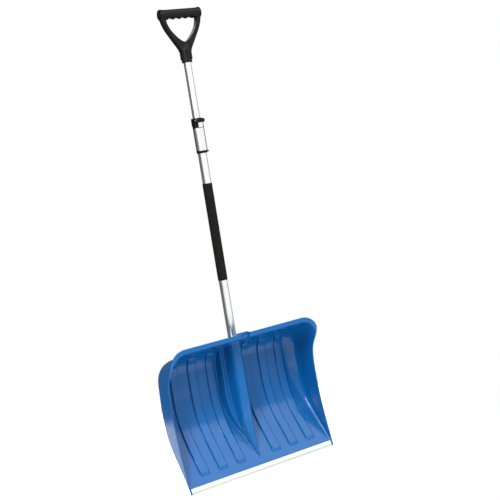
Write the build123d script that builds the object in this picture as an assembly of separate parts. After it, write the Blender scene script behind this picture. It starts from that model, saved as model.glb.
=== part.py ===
from build123d import *
from math import cos, pi, radians, sin
import os

# Snow shovel with a telescopic shaft. Millimetres. +X to the user's right, +Y behind the blade,
# +Z up along the shaft. Heights in this file are measured up from the cutting edge of the blade,
# on the axis of the shaft; every piece is moved at the end so that the origin lies on that axis at
# the place where a tool rack holds the lower tube.
RACK_HEIGHT = 490.0

# Scoop
HALF_WIDTH = 248.0  # to the outer face of a side wall
SKIN = 3.0
LIP_FRONT = -68.5  # where the blade bends down into the cutting edge
LIP_HEIGHT = 20.0
FLOOR_BACK = 67.5  # front face of the upright part of the floor
FLOOR_KNEE = 165.5  # where the sloping and upright parts of the floor would meet
CURL_KNEE = 359.4  # where the upright part and the top overhang would meet
FLOOR_BEND = 205.0
CURL_BEND = 62.0
LIP_BEND = 12.0
CURL_RISE = 0.3153  # climb of the overhang for each millimetre it reaches forwards
FAR_FRONT = -200.0  # ahead of everything
LIP_FOOT = -30.0  # the line of the lip, carried on past the cutting edge
LIP_RUN = 21.5
RIM_FRONT = -90.0
RIM_TOP = 423.0
RIM_CORNER = 52.0
RIM_THICKNESS = 3.0
RIM_FLARE = 1.0  # how far the rim stands out beyond the side walls
RIM_START = 310.0  # the rim begins to stand out here
RIM_FULL = 350.0
CORNER_RADII = [
    (-30.0, 3.0), (22.0, 3.0), (60.0, 10.0), (100.0, 13.0), (140.0, 19.0), (180.0, 29.0),
    (215.0, 35.0), (256.0, 41.0), (287.0, 44.0), (318.0, 49.0), (345.0, 52.0), (460.0, 52.0),
]  # height, radius between floor and side wall
CORNER_STEPS = 40
SIDE_EDGE = [
    (-79.5, 0.0), (-71.0, 33.0), (-60.5, 78.0), (-51.0, 123.0), (-44.0, 168.0), (-40.0, 213.0),
    (-38.5, 258.0), (-41.0, 294.0), (-51.0, 324.0), (-69.0, 350.0), (-83.0, 374.0), (RIM_FRONT, 400.0),
]  # front edge of a side wall, as (Y, height)
RIB_CENTRES = [-183.0, -122.0, -61.0, 61.0, 122.0, 183.0]
RIB_HALF = 13.5
RIB_HEIGHT = 7.0
RIB_SKIN = 3.0
RIB_SIDE = [
    (-53.5, 34.0), (-53.5, 240.0), (45.0, 359.0), (5.0, 379.5), (5.0, 390.0), (80.0, 390.0),
    (80.0, 34.0),
]  # a rib lies inside this outline of (Y, height), whose edges make its two sloping ends
SECTION_BACK = 95.0  # the keel and shoulder sections run back to here, behind the floor
KEEL_SECTIONS = [
    # height, half width at the crest, Y of the shoulders, Y of the crest, half width at the back
    (430.0, 20.0, -3.0, -22.0, 25.0),
    (290.0, 20.0, -4.0, -23.0, 26.0),
    (150.0, 19.0, -8.0, -27.0, 26.0),
    (110.0, 15.0, -15.0, -31.0, 23.0),
    (72.0, 8.0, -30.0, -40.0, 15.0),
    (35.0, 1.0, -53.0, -55.0, 2.0),
]
SHOULDER_SECTIONS = [
    # height, half width at the front, Y of the front, half width at the back
    (430.0, 34.0, 31.0, 40.0),
    (290.0, 36.0, 32.0, 41.0),
    (210.0, 38.0, 28.0, 44.0),
    (160.0, 34.0, 16.0, 42.0),
    (118.0, 21.0, 2.0, 30.0),
    (88.0, 10.0, -16.0, 14.0),
]
SOCKET_RADIUS = 17.0
SOCKET_BOTTOM = 186.0
SOCKET_TOP = 394.0
SOCKET_LEDGE = 5.0
LEDGE_RADIUS = 9.0
SOCKET_WEBS = [188.0, 275.0, 352.0]
WEB_HALF = 1.5
HOLLOW_BOTTOM = 60.0
HOLLOW_TOP = 330.0
HOLLOW_GAP = 0.5  # the hollow ahead of the floor stops this far short of it
NOTCH_HALF = 16.0
NOTCH_BACK = -69.0
NOTCH_FLOOR = 404.0
NOTCH_WALL = 2.5
STRIP_THICKNESS = 1.2
STRIP_LENGTH = 484.0
STRIP_START = 2.2  # along the lip, down from the bend
STRIP_END = 20.9
LIP_END = 2.4  # height at which the moulding stops inside the strip
RIVET_RUN = 11.0
RIVET_CENTRES = [-200.0, -120.0, -40.0, 40.0, 120.0, 200.0]
RIVET_RADIUS = 2.0
RIVET_HEAD_RADIUS = 3.6
RIVET_HEAD = 1.0
TAIL_RADIUS = 3.0

# Shaft
LOWER_RADIUS = 13.0
UPPER_RADIUS = 11.0
TUBE_WALL = 1.2
LOWER_TOP = 1046.0
UPPER_BOTTOM = 780.0
UPPER_TOP = 1256.0
RUNNING_GAP = 0.05
FOAM_RADIUS = 14.5
FOAM_BOTTOM = 577.0
FOAM_TOP = 868.0
FOAM_EDGE = 0.7
BUSH_LENGTH = 46.0
BUSH_HEAD = 1.2
BUSH_RIVET_RADIUS = 1.5
BUSH_RIVET_RUN = 13.0
GUIDE_HEAD = 12.0
GUIDE_PLUG = 26.0
GUIDE_BORE = 7.5
SCREW_RADIUS = 2.0
SCREW_HEAD_RADIUS = 4.0
SCREW_HEAD = 2.2
RECESS_DEPTH = 1.4
RECESS_LENGTH = 3.6
RECESS_WIDTH = 0.9
HEAD_SINK = 0.6  # depth of the flat seat under a head on a round surface
SOCKET_SCREW_HEIGHTS = [225.0, 330.0]
GRIP_SCREW_HEIGHT = 1240.0

# Lock
BODY_RADIUS = 15.5
BODY_BOTTOM = 957.5
BODY_TOP = 1060.0
COLLAR_RADIUS = 16.6
COLLAR_BOTTOM = 1037.0
FOOT_HEIGHT = 2.0
BODY_RIVET_HEIGHT = 975.0
COLLAR_GAP = 0.4
COLLAR_EDGE = 1.2
COLLAR_RIDGES = [1041.0, 1046.0, 1051.0]
RIDGE_HEIGHT = 0.7
RIDGE_HALF = 0.8
SLIT_HALF = 0.8
PIN_Y = -19.5
PIN_HEIGHT = 1052.0
PIN_RADIUS = 1.75
PIN_HEAD_RADIUS = 3.0
PIN_HEAD = 1.4
EAR_INNER = 9.8
EAR_OUTER = 14.0
EAR_RADIUS = 5.5
FLAT_Y = -15.0
CAM_CLOSED = 4.2
CAM_OPEN = 3.4
CAM_TRAVEL = 100.0  # degrees of lever travel over which the cam falls away
CAM_RELIEF = 160.0  # the low part of the cam ends here
CAM_FRONT = 4.6
CAM_FRONT_END = 300.0
LEVER_GAP = 0.4
EAR_GAP = 0.3  # between the lever's head and each ear
LEVER_BOTTOM = 960.0
LEVER_TOP = 1036.5
LEVER_RADIUS = 18.0
LEVER_LIP_RADIUS = 21.5
LIP_TALL = 4.0
LIP_ANGLE = 55.0
LEVER_ARM_FRONT = -21.5
LEVER_ANGLE = 74.0  # the lever wraps this far to each side of its middle
PLATE_THICKNESS = 1.0
PLATE_BOTTOM = 965.0
PLATE_TOP = 1031.0
PLATE_HALF_WIDTH = 16.8
PLATE_CORNER = 4.0
ARM_START = 1031.4
TONGUE_HALF = 7.0  # the bright tongue on the front of the lever's arm
TONGUE_BOTTOM = 1032.5
TONGUE_TOP = 1046.0
PAD_HALF_WIDTH = 5.7
PAD_HALF_HEIGHT = 3.7
PAD_CLEARANCE = 0.3
PAD_BACK = -8.0

# Grip
GRIP_BOTTOM = 1222.0
GRIP_RADIUS = 14.5
GRIP_DEPTH = 20.0
GRIP_EDGE = 3.0
FOOT_FLANGE = 0.8
FOOT_TALL = 6.0
SLAB_FOOT = 8.0  # the slab of the arms starts this far up the neck
NECK_TOP = 1258.5
NECK_TAPER = 21.0
NECK_TIP = 9.0
BAR_HEIGHT = 1361.5
BAR_HALF_HEIGHT = 14.0
BAR_HALF_DEPTH = 15.0
BAR_HALF_LENGTH = 54.0
BAR_CORNER = 11.0
CAP_INNER = 52.5
CAP_OUTER = 65.5
CAP_RADIUS = 16.0
CAP_EDGE = 4.0
FINGER_CENTRES = [-30.0, -10.0, 10.0, 30.0]
FINGER_RADIUS = 11.5
FINGER_DEPTH = 5.0
GRIP_OUTER = [
    (65.0, 1366.0), (62.5, 1344.0), (55.0, 1322.0), (43.0, 1300.0), (29.0, 1277.0),
    (18.5, 1258.0), (15.0, 1246.0),
]  # outside of an arm, as (X, height)
GRIP_INNER = [
    (49.0, 1346.0), (45.5, 1331.0), (36.5, 1313.5), (23.5, 1297.5), (9.0, 1284.5), (0.0, 1281.0),
]  # inside of an arm, down to the bottom of the finger opening


def upright(radius, bottom, top):
    """A cylinder on the axis of the shaft between two heights."""
    return Pos(0, 0, bottom) * Cylinder(
        radius, top - bottom, align=(Align.CENTER, Align.CENTER, Align.MIN)
    )


def ring(outer, inner, bottom, top):
    """A tube on the axis of the shaft."""
    return upright(outer, bottom, top) - upright(inner, bottom - 1, top + 1)


def block(x0, x1, y0, y1, z0, z1):
    """A box given by its limits."""
    middle = Pos((x0 + x1) / 2, (y0 + y1) / 2, (z0 + z1) / 2)
    return middle * Box(x1 - x0, y1 - y0, z1 - z0)


def across(radius, y, z, x0, x1):
    """A cylinder that runs from side to side."""
    return Pos((x0 + x1) / 2, y, z) * Rot(0, 90, 0) * Cylinder(radius, x1 - x0)


def along_y(radius, x, z, y0, y1):
    """A cylinder that runs from front to back."""
    return Pos(x, (y0 + y1) / 2, z) * Rot(90, 0, 0) * Cylinder(radius, y1 - y0)


def side_profile(points, half):
    """A prism from side to side, from an outline of (Y, height) points."""
    face = make_face(Polyline(*points, close=True))
    return extrude(Plane.YZ * face, half, both=True)


def front_profile(face, y0, y1):
    """A prism from front to back, from a face drawn as (X, height)."""
    solid = extrude(Plane.XZ * face, -(y1 - y0))
    return Pos(0, y0, 0) * solid


# ---------------------------------------------------------------- scoop


def floor_line():
    """Outline of the space in front of the floor, as (Y, height), open far out in front."""
    slope = (FLOOR_BACK - LIP_FRONT) / (FLOOR_KNEE - LIP_HEIGHT)
    corners = [
        (LIP_FRONT, LIP_HEIGHT),
        (LIP_FRONT + slope * (FLOOR_KNEE - LIP_HEIGHT), FLOOR_KNEE),
        (FLOOR_BACK, CURL_KNEE),
        (FAR_FRONT, CURL_KNEE + CURL_RISE * (FLOOR_BACK - FAR_FRONT)),
        (FAR_FRONT, LIP_FOOT),
        (LIP_FRONT - LIP_RUN, LIP_FOOT),
    ]
    face = make_face(Polyline(*corners, close=True))
    for corner, radius in zip(corners[:3], (LIP_BEND, FLOOR_BEND, CURL_BEND)):
        face = fillet(face.vertices().sort_by_distance((*corner, 0))[0], radius)
    return face


def corner_radius(height, past_curl):
    """Radius between the floor and a side wall at one height up the floor."""
    if past_curl:
        return CORNER_RADII[-1][1]
    for (z0, r0), (z1, r1) in zip(CORNER_RADII, CORNER_RADII[1:]):
        if height <= z1:
            return r0 + (r1 - r0) * (height - z0) / (z1 - z0)
    return CORNER_RADII[-1][1]


def corner_tool(face, grow):
    """What lies outside the rounded corner between the floor and the right side wall."""
    far = min(v.X for v in face.vertices())
    low = min(v.Y for v in face.vertices())
    path = Wire([e for e in face.edges() if (e @ 0.5).X > far + 0.1 and (e @ 0.5).Y > low + 0.1])
    starts_low = (path @ 0).Y < (path @ 1).Y
    wall = HALF_WIDTH - SKIN
    out, under = wall + 9, -grow - 6
    sections = []
    for i in range(CORNER_STEPS + 1):
        t = i / CORNER_STEPS if starts_low else 1 - i / CORNER_STEPS
        point = path.position_at(t)
        along = path.tangent_at(t) * (1 if starts_low else -1)
        inward = Vector(0, -along.Y, along.X)
        plane = Plane(
            origin=(0, point.X, point.Y), x_dir=(1, 0, 0), z_dir=Vector(1, 0, 0).cross(inward)
        )
        radius = corner_radius(point.Y, point.Y > CORNER_RADII[-2][0])
        start = wall - radius
        swing = radius + grow
        middle = (start + swing * sin(pi / 4), radius - swing * cos(pi / 4))
        outline = Wire([
            Line((out, under), (start, under)),
            Line((start, under), (start, -grow)),
            ThreePointArc((start, -grow), middle, (start + swing, radius)),
            Line((start + swing, radius), (out, radius)),
            Line((out, radius), (out, under)),
        ])
        sections.append(plane * outline)
    return Solid.make_loft(sections, True)


def inside(grow):
    """The space inside the scoop, grown outwards all round."""
    face = floor_line()
    section = offset(face, grow) if grow else face
    space = extrude(Plane.YZ * section, HALF_WIDTH - SKIN + grow, both=True)
    tool = corner_tool(face, grow)
    return space - tool - mirror(tool, Plane.YZ)


def front_edge(back, far):
    """What lies ahead of a line drawn `back` behind the front edge of the side walls."""
    points = [(y + back, z) for y, z in SIDE_EDGE]
    edge = Spline(*points)
    high, low = (points[-1][0], 470.0), (points[0][0], -40.0)
    outline = Wire([
        edge,
        Line(points[-1], high),
        Line(high, (far, high[1])),
        Line((far, high[1]), (far, low[1])),
        Line((far, low[1]), low),
        Line(low, points[0]),
    ])
    return extrude(Plane.YZ * make_face(outline), HALF_WIDTH + 20, both=True)


def rim_flange(ahead, cavity):
    """The flat flange that runs round the front of the overhang and fades out down the sides."""
    wide = HALF_WIDTH + RIM_FLARE
    front = make_face(Polyline(
        (-HALF_WIDTH, RIM_START), (-wide, RIM_FULL), (-wide, RIM_TOP), (wide, RIM_TOP),
        (wide, RIM_FULL), (HALF_WIDTH, RIM_START), close=True,
    ))
    for x in (-wide, wide):
        front = fillet(front.vertices().sort_by_distance((x, RIM_TOP, 0))[0], RIM_CORNER)
    layer = front_profile(front, -120, 0) & front_edge(RIM_THICKNESS, -119)
    return layer - ahead - cavity


def notch(grow, back):
    """The round-bottomed notch in the middle of the rim, cut from the front."""
    half = NOTCH_HALF + grow
    middle = NOTCH_FLOOR - grow + half
    face = Pos(0, middle) * Circle(half) + Pos(0, middle + half) * Rectangle(2 * half, 2 * half)
    return front_profile(face, RIM_FRONT - 5, back)


def keel(grow):
    """The rounded front of the socket, which runs down to a point on the blade."""
    sections = []
    for z, half, shoulder, crest, back in KEEL_SECTIONS:
        a, b = max(half + grow, 0.4), max(back + grow, 0.8)
        front = crest - grow
        side = max(shoulder - grow, front + 0.5)
        outline = Wire([
            Line((-b, SECTION_BACK), (-a, side)),
            ThreePointArc((-a, side), (0, front), (a, side)),
            Line((a, side), (b, SECTION_BACK)),
            Line((b, SECTION_BACK), (-b, SECTION_BACK)),
        ])
        sections.append(Pos(0, 0, z) * outline)
    return Solid.make_loft(sections, True)


def shoulders(grow):
    """The wide, low step on each side of the keel."""
    sections = []
    for z, half, front, back in SHOULDER_SECTIONS:
        a, b, y = half + grow, back + grow, front - grow
        back_left, back_right = (-b, SECTION_BACK), (b, SECTION_BACK)
        outline = Polyline(back_left, (-a, y), (a, y), back_right, close=True)
        sections.append(Pos(0, 0, z) * outline)
    return Solid.make_loft([Wire(s.edges()) for s in sections], True)


def ribs(cavity, skin):
    """The raised ribs on the floor and the grooves behind them."""
    step = inside(-RIB_HEIGHT)
    hollow = inside(RIB_SKIN - RIB_HEIGHT)
    outline = make_face(Polyline(*RIB_SIDE, close=True))
    bar = extrude(Plane.YZ * outline, RIB_HALF, both=True)
    smaller = offset(outline, -RIB_SKIN, kind=Kind.INTERSECTION)
    core = extrude(Plane.YZ * smaller, RIB_HALF - RIB_SKIN, both=True)
    raised, grooves = [], []
    for x in RIB_CENTRES:
        raised.append((Pos(x, 0, 0) * bar & cavity) - step)
        grooves.append((Pos(x, 0, 0) * core & skin) - hollow)
    return raised, grooves


def socket_sleeve():
    """The sleeve that holds the lower tube, with the webs that tie it to the moulding."""
    sleeve = upright(SOCKET_RADIUS, SOCKET_BOTTOM, SOCKET_TOP)
    around = keel(-1) + shoulders(-1)
    for z in SOCKET_WEBS:
        sleeve += block(-34, 34, -18, 36, z - WEB_HALF, z + WEB_HALF) & around
    return sleeve


def notch_wall():
    """The wall that closes the notch behind and at its sides."""
    wall = notch(NOTCH_WALL, NOTCH_BACK + NOTCH_WALL) - notch(0, NOTCH_BACK)
    return wall & block(-40, 40, RIM_FRONT, 0, NOTCH_FLOOR - 9, RIM_TOP)


def scoop_shell():
    """One moulding: floor, side walls, overhang, rim, ribs and tube socket."""
    cavity, skin = inside(0), inside(SKIN)
    ahead = front_edge(0, -300)
    trimmed = skin - ahead - block(-300, 300, -300, 100, -60, LIP_END)
    shell = trimmed - cavity + rim_flange(ahead, cavity)
    raised, grooves = ribs(cavity, skin)
    shell = shell + raised - grooves
    shell += (keel(0) + shoulders(0)) & trimmed
    hollow = keel(-SKIN) + shoulders(-SKIN)
    shell -= hollow & inside(-HOLLOW_GAP)
    shell -= hollow & block(-60, 60, -60, 99, HOLLOW_BOTTOM, HOLLOW_TOP)
    shell += socket_sleeve()
    shell -= upright(LOWER_RADIUS, SOCKET_BOTTOM + SOCKET_LEDGE, SOCKET_TOP + 40)
    shell -= upright(LEDGE_RADIUS, SOCKET_BOTTOM - 1, SOCKET_BOTTOM + SOCKET_LEDGE + 1)
    shell = shell - notch(0, NOTCH_BACK) + (notch_wall() - cavity)
    for z in SOCKET_SCREW_HEIGHTS:
        shell -= along_y(SCREW_RADIUS, 0, z, 0, 40)
    return shell - [rivet_place(x) * Cylinder(RIVET_RADIUS, 30) for x in RIVET_CENTRES]


# ---------------------------------------------------------------- cutting edge


def lip_plane(x, run):
    """Frame on the front of the lip: X as the shovel's, Y down the lip, Z out of its back."""
    drop = Vector(0, -LIP_RUN, -(LIP_HEIGHT - LIP_FOOT)).normalized()
    back = Vector(1, 0, 0).cross(drop)
    origin = Vector(x, LIP_FRONT, LIP_HEIGHT) + drop * run
    return Plane(origin=origin, x_dir=(1, 0, 0), z_dir=back)


def rivet_place(x):
    return lip_plane(x, RIVET_RUN).location


def wear_strip():
    """Aluminium strip folded over the lip."""
    outer, length = SKIN + 2 * STRIP_THICKNESS, STRIP_END - STRIP_START
    fold = Box(STRIP_LENGTH, length, outer, align=(Align.CENTER, Align.MIN, Align.MIN))
    fold = Pos(0, STRIP_START, -STRIP_THICKNESS) * fold
    ends = fold.edges().filter_by(Axis.X).group_by(Axis.Y)[-1]
    fold = fillet(ends, outer / 2 - 0.1)
    slot = Box(STRIP_LENGTH + 2, length, SKIN, align=(Align.CENTER, Align.MIN, Align.MIN))
    fold -= Pos(0, STRIP_START - STRIP_THICKNESS - 0.2, 0) * slot
    strip = lip_plane(0, 0).location * fold
    return strip - [rivet_place(x) * Cylinder(RIVET_RADIUS, 30) for x in RIVET_CENTRES]


def dome(radius, height):
    """A low round head standing on Z = 0."""
    ball = (radius**2 + height**2) / (2 * height)
    cap = Pos(0, 0, height - ball) * Sphere(ball)
    return cap & Cylinder(radius + 1, height, align=(Align.CENTER, Align.CENTER, Align.MIN))


def strip_rivets():
    rivets = []
    for x in RIVET_CENTRES:
        front, back = -STRIP_THICKNESS, SKIN + STRIP_THICKNESS
        shank = Pos(0, 0, (front + back) / 2) * Cylinder(RIVET_RADIUS, back - front)
        head = Pos(0, 0, front) * Rot(180, 0, 0) * dome(RIVET_HEAD_RADIUS, RIVET_HEAD)
        tail = Pos(0, 0, back) * dome(TAIL_RADIUS, RIVET_HEAD)
        rivets.append(rivet_place(x) * (shank + head + tail))
    return rivets


# ---------------------------------------------------------------- shaft


def lower_tube():
    tube = ring(LOWER_RADIUS, LOWER_RADIUS - TUBE_WALL, SOCKET_BOTTOM + SOCKET_LEDGE, LOWER_TOP)
    for z in SOCKET_SCREW_HEIGHTS:
        tube -= along_y(SCREW_RADIUS, 0, z, 5, 20)
    return tube - along_y(SCREW_RADIUS, 0, BODY_RIVET_HEIGHT, 5, 20)


def pan_screw(z, face, tip):
    """A screw driven in from behind, with a cross recess in its head."""
    screw = along_y(SCREW_RADIUS, 0, z, tip, face)
    screw += Pos(0, face, z) * Rot(-90, 0, 0) * dome(SCREW_HEAD_RADIUS, SCREW_HEAD)
    deep = face + SCREW_HEAD - RECESS_DEPTH
    for long, short in ((RECESS_LENGTH, RECESS_WIDTH), (RECESS_WIDTH, RECESS_LENGTH)):
        screw -= block(-long / 2, long / 2, deep, face + 9, z - short / 2, z + short / 2)
    return screw


def socket_screws():
    return [pan_screw(z, SOCKET_RADIUS, 8.0) for z in SOCKET_SCREW_HEIGHTS]


def foam_grip():
    """Sleeve of foam rubber, pushed on to the lower tube."""
    sleeve = upright(FOAM_RADIUS, FOAM_BOTTOM, FOAM_TOP)
    sleeve = fillet(sleeve.edges().filter_by(GeomType.CIRCLE), FOAM_EDGE)
    return sleeve - upright(LOWER_RADIUS, FOAM_BOTTOM - 1, FOAM_TOP + 1)


def collar_bush():
    """Bush in the mouth of the lower tube, in which the upper tube slides."""
    bore = UPPER_RADIUS + RUNNING_GAP
    inner = LOWER_RADIUS - TUBE_WALL
    bush = ring(inner, bore, LOWER_TOP - BUSH_LENGTH, LOWER_TOP)
    return bush + ring(LOWER_RADIUS, bore, LOWER_TOP, LOWER_TOP + BUSH_HEAD)


def upper_tube():
    tube = ring(UPPER_RADIUS, UPPER_RADIUS - TUBE_WALL, UPPER_BOTTOM, UPPER_TOP)
    tube -= along_y(BUSH_RIVET_RADIUS, 0, UPPER_BOTTOM + BUSH_RIVET_RUN, -20, 20)
    return tube - along_y(SCREW_RADIUS, 0, GRIP_SCREW_HEIGHT, 5, 20)


def guide_bush():
    """Plug in the foot of the upper tube, whose head runs in the lower tube."""
    head = LOWER_RADIUS - TUBE_WALL - RUNNING_GAP
    bush = ring(head, GUIDE_BORE, UPPER_BOTTOM - GUIDE_HEAD, UPPER_BOTTOM)
    bush += ring(UPPER_RADIUS - TUBE_WALL, GUIDE_BORE, UPPER_BOTTOM, UPPER_BOTTOM + GUIDE_PLUG)
    return bush - along_y(BUSH_RIVET_RADIUS, 0, UPPER_BOTTOM + BUSH_RIVET_RUN, -20, 20)


def bush_rivet():
    reach = UPPER_RADIUS - 0.2
    return along_y(BUSH_RIVET_RADIUS, 0, UPPER_BOTTOM + BUSH_RIVET_RUN, -reach, reach)


# ---------------------------------------------------------------- lock


def sector(outer, inner, bottom, top, angle):
    """Part of a ring that reaches `angle` degrees to each side of the front."""
    reach = 4 * outer
    x, y = reach * sin(radians(angle)), -reach * cos(radians(angle))
    wedge = make_face(Polyline((0, 0), (-x, y), (0, -2 * reach), (x, y), close=True))
    return ring(outer, inner, bottom, top) & extrude(Pos(0, 0, bottom) * wedge, top - bottom)


def clamp_body():
    """Plastic collar on the mouth of the lower tube, with the ears that carry the lever."""
    split = LOWER_TOP + BUSH_HEAD
    body = upright(BODY_RADIUS, BODY_BOTTOM, COLLAR_BOTTOM)
    body += upright(COLLAR_RADIUS, BODY_BOTTOM, BODY_BOTTOM + FOOT_HEIGHT)
    body += upright(COLLAR_RADIUS, COLLAR_BOTTOM, BODY_TOP)
    body = fillet(body.edges().filter_by(GeomType.CIRCLE).group_by(Axis.Z)[-1], COLLAR_EDGE)
    for z in COLLAR_RIDGES:
        ridge = upright(COLLAR_RADIUS + RIDGE_HEIGHT, z - RIDGE_HALF, z + RIDGE_HALF)
        body += fillet(ridge.edges().filter_by(GeomType.CIRCLE), RIDGE_HALF * 0.8)
    body -= block(-EAR_INNER, EAR_INNER, -40, FLAT_Y, COLLAR_BOTTOM, BODY_TOP + 1)
    for side in (-1, 1):
        x0, x1 = sorted((side * EAR_INNER, side * EAR_OUTER))
        low, high = PIN_HEIGHT - EAR_RADIUS, PIN_HEIGHT + EAR_RADIUS
        body += across(EAR_RADIUS, PIN_Y, PIN_HEIGHT, x0, x1)
        body += block(x0, x1, PIN_Y, PAD_BACK, low, high)
    body -= upright(LOWER_RADIUS, BODY_BOTTOM - 1, split)
    body -= upright(UPPER_RADIUS + COLLAR_GAP, split - 1, BODY_TOP + 1)
    body -= across(PIN_RADIUS, PIN_Y, PIN_HEIGHT, -30, 30)
    wide, tall = PAD_HALF_WIDTH + PAD_CLEARANCE, PAD_HALF_HEIGHT + PAD_CLEARANCE
    body -= block(-wide, wide, -30, -5, PIN_HEIGHT - tall, PIN_HEIGHT + tall)
    body -= block(-SLIT_HALF, SLIT_HALF, 5, 30, COLLAR_BOTTOM, BODY_TOP + 1)
    body -= along_y(RIVET_HEAD_RADIUS, 0, BODY_RIVET_HEIGHT, BODY_RADIUS - HEAD_SINK, 30)
    return body - along_y(SCREW_RADIUS, 0, BODY_RIVET_HEIGHT, 5, 30)


def body_rivet():
    """Rivet through the back of the clamp body and the lower tube."""
    seat, tip = BODY_RADIUS - HEAD_SINK, LOWER_RADIUS - TUBE_WALL
    rivet = along_y(SCREW_RADIUS, 0, BODY_RIVET_HEIGHT, tip, seat)
    head = dome(RIVET_HEAD_RADIUS, RIVET_HEAD + HEAD_SINK)
    return rivet + Pos(0, seat, BODY_RIVET_HEIGHT) * Rot(-90, 0, 0) * head


def lever_pin():
    pin = across(PIN_RADIUS, PIN_Y, PIN_HEIGHT, -EAR_OUTER, EAR_OUTER)
    for side in (-1, 1):
        head = Rot(0, 90 * side, 0) * dome(PIN_HEAD_RADIUS, PIN_HEAD)
        pin += Pos(side * EAR_OUTER, PIN_Y, PIN_HEIGHT) * head
    return pin


def cam_head():
    """The lever's head: an eccentric that falls away from the pad as the lever opens."""
    points = []
    for angle in range(-40, 321, 10):
        if 0 <= angle <= CAM_TRAVEL:
            radius = CAM_CLOSED + (CAM_OPEN - CAM_CLOSED) * angle / CAM_TRAVEL
        elif CAM_TRAVEL < angle <= CAM_RELIEF:
            radius = CAM_OPEN
        elif angle < 0 or angle > CAM_FRONT_END:
            radius = CAM_CLOSED
        else:
            radius = CAM_FRONT
        points.append((
            PIN_Y + radius * cos(radians(angle)), PIN_HEIGHT + radius * sin(radians(angle))
        ))
    return side_profile(points, EAR_INNER - EAR_GAP)


def plate_space(inner):
    """The recess in the front of the lever that takes the cover plate."""
    middle = (PLATE_BOTTOM + PLATE_TOP) / 2
    face = RectangleRounded(2 * PLATE_HALF_WIDTH, PLATE_TOP - PLATE_BOTTOM, PLATE_CORNER)
    window = front_profile(Pos(0, middle) * face, -40, -2)
    return ring(LEVER_RADIUS, inner, PLATE_BOTTOM, PLATE_TOP) & window


def tongue():
    """The narrow upper end of the cover, let into the front of the lever's arm."""
    back = LEVER_ARM_FRONT + PLATE_THICKNESS
    return block(-TONGUE_HALF, TONGUE_HALF, LEVER_ARM_FRONT, back, TONGUE_BOTTOM, TONGUE_TOP)


def clamp_lever():
    """The lever, closed: its shell lies round the front of the clamp body."""
    inner = BODY_RADIUS + LEVER_GAP
    lever = sector(LEVER_RADIUS, inner, LEVER_BOTTOM, LEVER_TOP, LEVER_ANGLE)
    lip = sector(LEVER_LIP_RADIUS, inner, LEVER_BOTTOM, LEVER_BOTTOM + LIP_TALL, LIP_ANGLE)
    lever += lip
    half = EAR_INNER - EAR_GAP
    lever += block(-half, half, LEVER_ARM_FRONT, -inner, ARM_START, PIN_HEIGHT)
    lever += cam_head()
    lever -= plate_space(LEVER_RADIUS - PLATE_THICKNESS)
    lever -= tongue()
    return lever - across(PIN_RADIUS + RUNNING_GAP, PIN_Y, PIN_HEIGHT, -30, 30)


def lever_plate():
    """The bright cover of the lever, in two pieces."""
    return [plate_space(LEVER_RADIUS - PLATE_THICKNESS), tongue()]


def pressure_pad():
    """The shoe that the cam presses against the upper tube."""
    z0, z1 = PIN_HEIGHT - PAD_HALF_HEIGHT, PIN_HEIGHT + PAD_HALF_HEIGHT
    pad = block(-PAD_HALF_WIDTH, PAD_HALF_WIDTH, FLAT_Y, PAD_BACK, z0, z1)
    return pad - upright(UPPER_RADIUS + RUNNING_GAP, z0 - 1, z1 + 1)


# ---------------------------------------------------------------- grip


def mirrored(points):
    """A line of (X, height) points on the right, taken round to the left."""
    return [(-x, z) for x, z in reversed(points) if x]


def grip_frame():
    """The two arms and the neck, cut from one slab with rounded edges."""
    right = Spline(*GRIP_OUTER)
    left = Spline(*mirrored(GRIP_OUTER))
    foot = GRIP_OUTER[-1]
    low = GRIP_BOTTOM + SLAB_FOOT
    outer = make_face(Wire([
        right,
        Line(foot, (foot[0], low)),
        Line((foot[0], low), (-foot[0], low)),
        Line((-foot[0], low), (-foot[0], foot[1])),
        left,
        Line(mirrored(GRIP_OUTER)[-1], GRIP_OUTER[0]),
    ]))
    inner = GRIP_INNER + mirrored(GRIP_INNER)
    x, top = GRIP_INNER[0][0], BAR_HEIGHT
    opening = make_face(Wire([
        Spline(*inner),
        Line(inner[-1], (-x, top)),
        Line((-x, top), (x, top)),
        Line((x, top), inner[0]),
    ]))
    half = GRIP_DEPTH / 2
    slab = front_profile(outer, -half, half)
    slab = chamfer(slab.edges().filter_by(Plane.XZ).filter_by(GeomType.BSPLINE), GRIP_EDGE)
    hole = front_profile(opening, -half - 1, half + 1)
    return slab - hole


def crossbar():
    """The part that the hand closes round, with finger hollows underneath."""
    section = RectangleRounded(2 * BAR_HALF_DEPTH, 2 * BAR_HALF_HEIGHT, BAR_CORNER)
    bar = extrude(Plane.YZ * Pos(0, BAR_HEIGHT) * section, BAR_HALF_LENGTH, both=True)
    low = BAR_HEIGHT - BAR_HALF_HEIGHT
    for x in FINGER_CENTRES:
        bar -= along_y(FINGER_RADIUS, x, low - FINGER_RADIUS + FINGER_DEPTH, -40, 40)
    for side in (-1, 1):
        x0, x1 = sorted((side * CAP_INNER, side * CAP_OUTER))
        cap = across(CAP_RADIUS, 0, BAR_HEIGHT, x0, x1)
        bar += fillet(cap.edges().filter_by(GeomType.CIRCLE), CAP_EDGE)
    return bar


def handle_grip():
    grip = grip_frame() + crossbar()
    neck = upright(GRIP_RADIUS, GRIP_BOTTOM, NECK_TOP)
    neck += upright(GRIP_RADIUS + FOOT_FLANGE, GRIP_BOTTOM, GRIP_BOTTOM + FOOT_TALL)
    taper = Cone(GRIP_RADIUS, NECK_TIP, NECK_TAPER, align=(Align.CENTER, Align.CENTER, Align.MIN))
    grip += neck + Pos(0, 0, NECK_TOP) * taper
    grip -= upright(UPPER_RADIUS, GRIP_BOTTOM - 1, UPPER_TOP)
    grip -= along_y(SCREW_HEAD_RADIUS, 0, GRIP_SCREW_HEIGHT, GRIP_RADIUS - HEAD_SINK, 30)
    return grip - along_y(SCREW_RADIUS, 0, GRIP_SCREW_HEIGHT, 0, 30)


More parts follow.
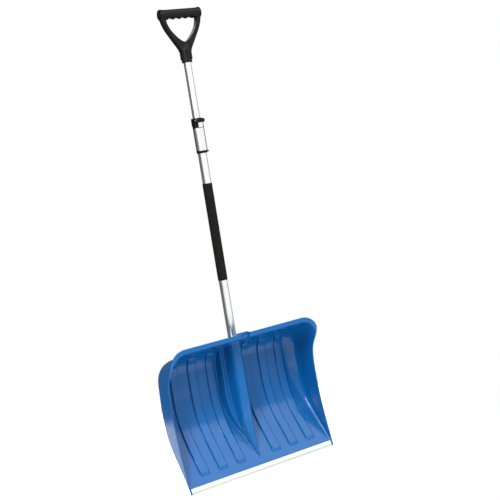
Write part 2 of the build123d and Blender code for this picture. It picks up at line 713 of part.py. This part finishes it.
def grip_screw():
    return pan_screw(GRIP_SCREW_HEIGHT, GRIP_RADIUS - HEAD_SINK, 7.0)


PIECES = {
    "scoop_shell": scoop_shell,
    "wear_strip": wear_strip,
    "strip_rivets": strip_rivets,
    "lower_tube": lower_tube,
    "socket_screws": socket_screws,
    "foam_grip": foam_grip,
    "collar_bush": collar_bush,
    "clamp_body": clamp_body,
    "body_rivet": body_rivet,
    "lever_pin": lever_pin,
    "clamp_lever": clamp_lever,
    "lever_plate": lever_plate,
    "pressure_pad": pressure_pad,
    "upper_tube": upper_tube,
    "guide_bush": guide_bush,
    "bush_rivet": bush_rivet,
    "handle_grip": handle_grip,
    "grip_screw": grip_screw,
}

os.makedirs("parts", exist_ok=True)
for name, make in PIECES.items():
    made = make()
    solids = made if isinstance(made, list) else [made]
    placed = [Pos(0, 0, -RACK_HEIGHT) * s for piece in solids for s in piece.solids()]
    export_step(Compound(children=placed) if len(placed) > 1 else placed[0], f"parts/{name}.step")
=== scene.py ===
import bpy
import bmesh
from math import cos, pi, radians, sin
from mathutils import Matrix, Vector, noise


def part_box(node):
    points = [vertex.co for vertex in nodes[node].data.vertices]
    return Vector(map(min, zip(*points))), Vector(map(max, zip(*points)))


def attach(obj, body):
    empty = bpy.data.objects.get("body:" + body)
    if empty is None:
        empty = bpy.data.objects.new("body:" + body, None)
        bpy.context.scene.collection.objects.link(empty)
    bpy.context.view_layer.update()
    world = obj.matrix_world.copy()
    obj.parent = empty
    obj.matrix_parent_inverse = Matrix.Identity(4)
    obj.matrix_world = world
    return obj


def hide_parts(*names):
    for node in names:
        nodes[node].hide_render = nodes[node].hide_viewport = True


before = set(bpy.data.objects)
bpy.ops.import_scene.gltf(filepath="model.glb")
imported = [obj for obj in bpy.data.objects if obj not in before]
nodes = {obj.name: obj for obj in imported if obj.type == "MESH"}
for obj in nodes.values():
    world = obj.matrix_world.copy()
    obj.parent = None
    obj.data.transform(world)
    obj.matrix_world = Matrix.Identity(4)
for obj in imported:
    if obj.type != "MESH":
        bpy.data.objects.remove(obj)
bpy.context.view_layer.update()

scene = bpy.context.scene
FLOOR = -0.490  # height of the cutting edge, on which the shovel stands
FLOOR_RADIUS, FLOOR_SIDES = 0.8, 96
FRONT = (0.296, -0.952, 0.08)  # the direction in which the studio is bright
DIM, BRIGHT, BRIGHT_FROM = 0.12, 1.0, 0.50  # the studio's grey behind and in front
LENS, SENSOR = 64.8, 36.0  # millimetres
CAMERA_PLACE = (-1.1609, -2.3933, 0.4764)
CAMERA_TURN = (83.182, 9.016, -28.974)  # degrees
WHITE = (1, 1, 1, 1)


# ---------------------------------------------------------------- node helpers


class Shader:
    """Builds one material from nodes, keeping the wiring short."""

    def __init__(self, name):
        self.material = bpy.data.materials.new(name)
        self.material.use_nodes = True
        self.tree = self.material.node_tree
        self.bsdf = self.tree.nodes["Principled BSDF"]
        self.place = self.add("ShaderNodeTexCoord").outputs["Object"]

    def add(self, kind, **settings):
        node = self.tree.nodes.new(kind)
        for key, value in settings.items():
            setattr(node, key, value)
        return node

    def link(self, a, b):
        self.tree.links.new(a, b)

    def stretch(self, scale):
        node = self.add("ShaderNodeMapping")
        node.inputs["Scale"].default_value = scale
        self.link(self.place, node.inputs["Vector"])
        return node.outputs["Vector"]

    def noise(self, scale, detail=3.0, rough=0.5, at=None):
        node = self.add("ShaderNodeTexNoise")
        node.inputs["Scale"].default_value = scale
        node.inputs["Detail"].default_value = detail
        node.inputs["Roughness"].default_value = rough
        self.link(at or self.place, node.inputs["Vector"])
        return node.outputs["Fac"]

    def cells(self, scale):
        node = self.add("ShaderNodeTexVoronoi")
        node.inputs["Scale"].default_value = scale
        self.link(self.place, node.inputs["Vector"])
        return node.outputs["Distance"]

    def ramp(self, value, stops):
        node = self.add("ShaderNodeValToRGB")
        elements = node.color_ramp.elements
        for (place, colour), element in zip(stops, elements):
            element.position, element.color = place, colour
        for place, colour in stops[2:]:
            elements.new(place).color = colour
        self.link(value, node.inputs["Fac"])
        return node.outputs["Color"]

    def span(self, value, low, high, a=0.0, b=1.0):
        node = self.add("ShaderNodeMapRange")
        limits = {"From Min": low, "From Max": high, "To Min": a, "To Max": b}
        for key, number in limits.items():
            node.inputs[key].default_value = number
        self.link(value, node.inputs["Value"])
        return node.outputs["Result"]

    def math(self, how, a, b):
        node = self.add("ShaderNodeMath", operation=how)
        for value, slot in ((a, node.inputs[0]), (b, node.inputs[1])):
            if isinstance(value, (int, float)):
                slot.default_value = value
            else:
                self.link(value, slot)
        return node.outputs[0]

    def mix(self, factor, a, b):
        node = self.add("ShaderNodeMix", data_type="RGBA")
        self.link(factor, node.inputs["Factor"])
        for value, slot in ((a, node.inputs[6]), (b, node.inputs[7])):
            if isinstance(value, tuple):
                slot.default_value = value
            else:
                self.link(value, slot)
        return node.outputs[2]

    def height(self):
        node = self.add("ShaderNodeSeparateXYZ")
        self.link(self.place, node.inputs[0])
        return node.outputs["Z"]

    def edges(self, low, high):
        """Where the surface is convex, from the mesh's pointiness."""
        return self.span(self.add("ShaderNodeNewGeometry").outputs["Pointiness"], low, high)

    def bump(self, *layers):
        """Layers of (height, depth in metres), one on another."""
        normal = None
        for value, depth in layers:
            node = self.add("ShaderNodeBump")
            node.inputs["Distance"].default_value = depth
            self.link(value, node.inputs["Height"])
            if normal:
                self.link(normal, node.inputs["Normal"])
            normal = node.outputs["Normal"]
        self.link(normal, self.bsdf.inputs["Normal"])

    def set(self, **values):
        for key, value in values.items():
            slot = self.bsdf.inputs[key.replace("_", " ")]
            if isinstance(value, (int, float, tuple)):
                slot.default_value = value
            else:
                self.link(value, slot)
        return self


def grey(level):
    return (level, level, level, 1.0)


# ---------------------------------------------------------------- materials


def scoop_plastic():
    s = Shader("scoop polypropylene")
    cloud = s.noise(5.0, 4.0, 0.6)
    grain = s.noise(900.0, 2.0, 0.6)
    deep, light, worn = (0.001, 0.086, 0.280, 1), (0.003, 0.096, 0.304, 1), (0.10, 0.24, 0.46, 1)
    base = s.ramp(cloud, [(0.3, deep), (0.7, light)])
    streaks = s.noise(60.0, 5.0, 0.7, s.stretch((1.0, 1.0, 0.06)))
    scuffs = s.span(streaks, 0.62, 0.74, 0.0, 0.35)
    low = s.span(s.height(), -0.47, -0.36, 1.0, 0.15)  # most scuffs are near the lip
    base = s.mix(s.math("MULTIPLY", scuffs, low), base, worn)
    s.set(Base_Color=base, Roughness=s.span(cloud, 0.3, 0.7, 0.13, 0.18))
    s.set(IOR=1.49, Specular_IOR_Level=0.31, Subsurface_Weight=0.05, Subsurface_Scale=0.003)
    s.bump((grain, 0.00006), (s.noise(18.0, 2.0), 0.0006))
    return s.material


def bright_tube():
    s = Shader("drawn aluminium")
    lines = s.noise(260.0, 2.0, 0.6, s.stretch((1.0, 1.0, 0.012)))
    cloud = s.noise(22.0, 4.0, 0.6)
    base = s.ramp(cloud, [(0.3, grey(0.92)), (0.7, grey(0.97))])
    s.set(Base_Color=base, Metallic=1.0)
    drawn = s.span(lines, 0.3, 0.7, 0.20, 0.30)
    handled = s.span(cloud, 0.3, 0.7, 0.0, 0.06)
    s.set(Roughness=s.math("ADD", drawn, handled))
    s.bump((lines, 0.00003))
    return s.material


def strip_metal():
    s = Shader("strip aluminium")
    lines = s.noise(420.0, 2.0, 0.6, s.stretch((0.012, 1.0, 1.0)))
    scratches = s.span(s.noise(160.0, 4.0, 0.7, s.stretch((0.05, 1.0, 1.0))), 0.58, 0.66)
    base = s.mix(scratches, grey(0.86), grey(0.78))
    painted_reflection_band = s.span(s.height(), -0.4830, -0.4805, 1.0, 0.0)  # painted reflection: the strip's lower edge is coloured grey-green by height, standing in for the reflection in its rounded fold
    # grey-green of the painted reflection along the strip's lower edge
    painted_reflection_colour = (0.56, 0.62, 0.56, 1)
    base = s.mix(painted_reflection_band, base, painted_reflection_colour)
    s.set(Base_Color=base, Metallic=1.0, Roughness=s.span(lines, 0.3, 0.7, 0.30, 0.44))
    s.bump((lines, 0.00004), (scratches, -0.00002))
    return s.material


def small_metal(name, level, rough):
    s = Shader(name)
    cloud = s.noise(300.0, 3.0, 0.6)
    s.set(Base_Color=s.ramp(cloud, [(0.3, grey(level * 0.86)), (0.7, grey(level))]), Metallic=1.0)
    s.set(Roughness=s.span(cloud, 0.3, 0.7, rough, rough + 0.12))
    s.bump((cloud, 0.00004))
    return s.material


def black_plastic(name, level, rough, grain_size=1600.0, grain_depth=0.00012):
    s = Shader(name)
    grain = s.noise(grain_size, 2.0, 0.5)
    cloud = s.noise(30.0, 3.0)
    base = s.ramp(cloud, [(0.3, grey(level * 0.85)), (0.7, grey(level * 1.1))])
    base = s.mix(s.edges(0.51, 0.60), base, grey(level * 2.2))
    s.set(Base_Color=base, Roughness=s.span(cloud, 0.3, 0.7, rough - 0.04, rough + 0.05))
    s.set(IOR=1.5, Specular_IOR_Level=0.15)
    s.bump((grain, grain_depth))
    return s.material


def foam_rubber():
    s = Shader("closed-cell foam")
    cells = s.cells(900.0)
    pores = s.span(s.cells(420.0), 0.05, 0.35)
    cloud = s.noise(40.0, 4.0, 0.6)
    dark, faded = (0.004, 0.004, 0.003, 1), (0.008, 0.008, 0.006, 1)
    base = s.ramp(cloud, [(0.3, dark), (0.7, faded)])
    base = s.mix(pores, grey(0.006), base)
    s.set(Base_Color=base, Roughness=0.88, IOR=1.4, Specular_IOR_Level=0.2)
    s.bump((cells, 0.0002), (pores, 0.0002), (cloud, 0.0004))
    return s.material


def matt_floor():
    s = Shader("studio floor")
    s.set(Base_Color=s.ramp(s.noise(3.0), [(0.3, grey(0.80)), (0.7, grey(0.82))]), Roughness=0.9)
    s.set(Emission_Color=grey(1.0), Emission_Strength=0.75)
    return s.material


blue = scoop_plastic()
tube = bright_tube()
black = black_plastic("black nylon", 0.004, 0.34)
steel = small_metal("zinc plated steel", 0.62, 0.28)
dull = small_metal("rivet aluminium", 0.78, 0.34)
LOOKS = {
    "scoop_shell": blue,
    "wear_strip": strip_metal(),
    "strip_rivets": dull,
    "lower_tube": tube,
    "upper_tube": tube,
    "socket_screws": steel,
    "grip_screw": steel,
    "collar_bush": black_plastic("bush nylon", 0.05, 0.45),
    "guide_bush": black_plastic("guide nylon", 0.05, 0.45),
    "pressure_pad": black_plastic("pad nylon", 0.05, 0.5),
    "bush_rivet": dull,
    "body_rivet": dull,
    "lever_pin": steel,
    "clamp_body": black,
    "clamp_lever": black,
    "lever_plate": small_metal("bright plate", 0.97, 0.20),
    "foam_grip": foam_rubber(),
    "handle_grip": black_plastic("grip nylon", 0.005, 0.36, 1100.0, 0.0002),
}


def dress(obj, material):
    obj.data.materials.clear()
    obj.data.materials.append(material)


def add_object(name, data):
    obj = bpy.data.objects.new(name, data)
    scene.collection.objects.link(obj)
    return obj


def shade_smooth(mesh):
    for polygon in mesh.polygons:
        polygon.use_smooth = True


for name, material in LOOKS.items():
    dress(nodes[name], material)

# ---------------------------------------------------------------- pieces


def bake_modifiers(piece):
    """Apply the piece's modifiers and smooth its shading."""
    graph = bpy.context.evaluated_depsgraph_get()
    mesh = bpy.data.meshes.new_from_object(piece.evaluated_get(graph))
    piece.modifiers.clear()
    piece.data = mesh
    shade_smooth(mesh)


def moulded(node, body, voxel, passes):
    """Stand-in for a CAD node, with its edges rounded as a moulding's are."""
    piece = add_object(node + "_moulded", nodes[node].data.copy())
    remesh = piece.modifiers.new("even", "REMESH")
    remesh.mode, remesh.voxel_size = "VOXEL", voxel
    smooth = piece.modifiers.new("round", "SMOOTH")
    smooth.factor, smooth.iterations = 0.5, passes
    bake_modifiers(piece)
    dress(piece, LOOKS[node])
    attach(piece, body)
    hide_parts(node)


def foam_sleeve():
    """Foam hand sleeve: a thick tube with soft lips and a slightly uneven skin."""
    low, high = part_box("foam_grip")
    radius = (high[0] - low[0]) / 2
    bore, lip, around, rows = 0.01305, 0.0016, 72, 150
    broad, fine = 0.00022, 0.0001  # how uneven the skin is, in metres
    turns_scale, length_scale = 2.2, 55
    outline = [(bore, low[2] + lip)]
    for t in (0.4, 0.9, pi / 2):
        outline.append((bore + lip * (1 - cos(t)), low[2] + lip * (1 - sin(t))))
    for row in range(rows + 1):
        z = low[2] + (high[2] - low[2]) * row / rows
        rest = min(z - low[2], high[2] - z)
        drop = lip * (1 - (1 - (1 - min(rest / lip, 1)) ** 2) ** 0.5)
        outline.append((radius - drop, z))
    outline += [(bore + lip, high[2]), (bore, high[2] - lip)]
    mesh = bpy.data.meshes.new("foam_sleeve")
    shape = bmesh.new()
    rings = []
    for r, z in outline:
        ring = []
        for i in range(around):
            a = 2 * pi * i / around
            place = Vector((cos(a) * turns_scale, sin(a) * turns_scale, z * length_scale))
            give = broad * noise.noise(place) + fine * noise.noise(place * 4)
            reach = r + (give if r > bore + lip else 0)
            ring.append(shape.verts.new((reach * cos(a), reach * sin(a), z)))
        rings.append(ring)
    for lower, upper in zip(rings, rings[1:] + rings[:1]):
        for i in range(around):
            j = (i + 1) % around
            shape.faces.new((lower[i], lower[j], upper[j], upper[i]))
    bmesh.ops.recalc_face_normals(shape, faces=shape.faces)
    shape.to_mesh(mesh)
    shape.free()
    sleeve = add_object("foam_sleeve", mesh)
    shade_smooth(mesh)
    dress(sleeve, LOOKS["foam_grip"])
    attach(sleeve, "shovel")
    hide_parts("foam_grip")


# node, body, voxel in metres, smoothing passes
moulded("scoop_shell", "shovel", 0.0015, 5)
moulded("handle_grip", "handle", 0.0007, 4)
moulded("clamp_body", "shovel", 0.0004, 3)
moulded("clamp_lever", "lever", 0.0003, 3)
foam_sleeve()

# ---------------------------------------------------------------- studio


def add_floor():
    mesh = bpy.data.meshes.new("floor")
    angles = [2 * pi * i / FLOOR_SIDES for i in range(FLOOR_SIDES)]
    rim = [(FLOOR_RADIUS * cos(a), FLOOR_RADIUS * sin(a), FLOOR) for a in angles]
    mesh.from_pydata(rim, [], [tuple(range(FLOOR_SIDES))])
    floor = add_object("floor", mesh)
    dress(floor, matt_floor())


def add_light(name, place, target, size, power):
    light = bpy.data.lights.new(name, "AREA")
    light.shape, light.size, light.size_y = "RECTANGLE", size[0], size[1]
    light.energy = power
    lamp = add_object(name, light)
    lamp.location = place
    lamp.visible_camera = False
    aim = Vector(target) - Vector(place)
    lamp.rotation_euler = aim.to_track_quat("-Z", "Y").to_euler()


def add_world():
    """White to the camera; to everything else bright in front and dim behind."""
    world = bpy.data.worlds.new("studio")
    world.use_nodes = True
    tree = world.node_tree
    plain = tree.nodes["Background"]
    plain.inputs["Color"].default_value = WHITE
    place = tree.nodes.new("ShaderNodeTexCoord").outputs["Generated"]
    dot = tree.nodes.new("ShaderNodeVectorMath")
    dot.operation = "DOT_PRODUCT"
    dot.inputs[1].default_value = FRONT
    tree.links.new(place, dot.inputs[0])
    ramp = tree.nodes.new("ShaderNodeValToRGB")
    tree.links.new(dot.outputs["Value"], ramp.inputs["Fac"])
    low, high = ramp.color_ramp.elements
    low.position, low.color = 0.0, grey(DIM)
    high.position, high.color = BRIGHT_FROM, grey(BRIGHT)
    room = tree.nodes.new("ShaderNodeBackground")
    tree.links.new(ramp.outputs["Color"], room.inputs["Color"])
    seen = tree.nodes.new("ShaderNodeLightPath").outputs["Is Camera Ray"]
    mix = tree.nodes.new("ShaderNodeMixShader")
    tree.links.new(seen, mix.inputs["Fac"])
    tree.links.new(room.outputs[0], mix.inputs[1])
    tree.links.new(plain.outputs[0], mix.inputs[2])
    tree.links.new(mix.outputs[0], tree.nodes["World Output"].inputs["Surface"])
    scene.world = world


def add_camera():
    data = bpy.data.cameras.new("camera")
    data.sensor_width, data.lens = SENSOR, LENS
    camera = add_object("camera", data)
    camera.location = CAMERA_PLACE
    camera.rotation_euler = [radians(turn) for turn in CAMERA_TURN]
    scene.camera = camera


add_floor()
add_world()
add_camera()
scene.view_settings.view_transform = "Standard"
add_light("top box", (1.3, -1.5, 2.3), (0.1, 0, -0.2), (2.6, 2.2), 40)
add_light("left box", (-2.4, -2.0, 2.4), (0, 0, -0.1), (1.6, 1.6), 84)
add_light("high strip", (-1.9, -1.6, 1.9), (0, 0, -0.2), (0.35, 1.2), 42)
add_light("back box", (0.4, 2.6, 2.4), (0, 0, -0.1), (2.2, 1.2), 25)
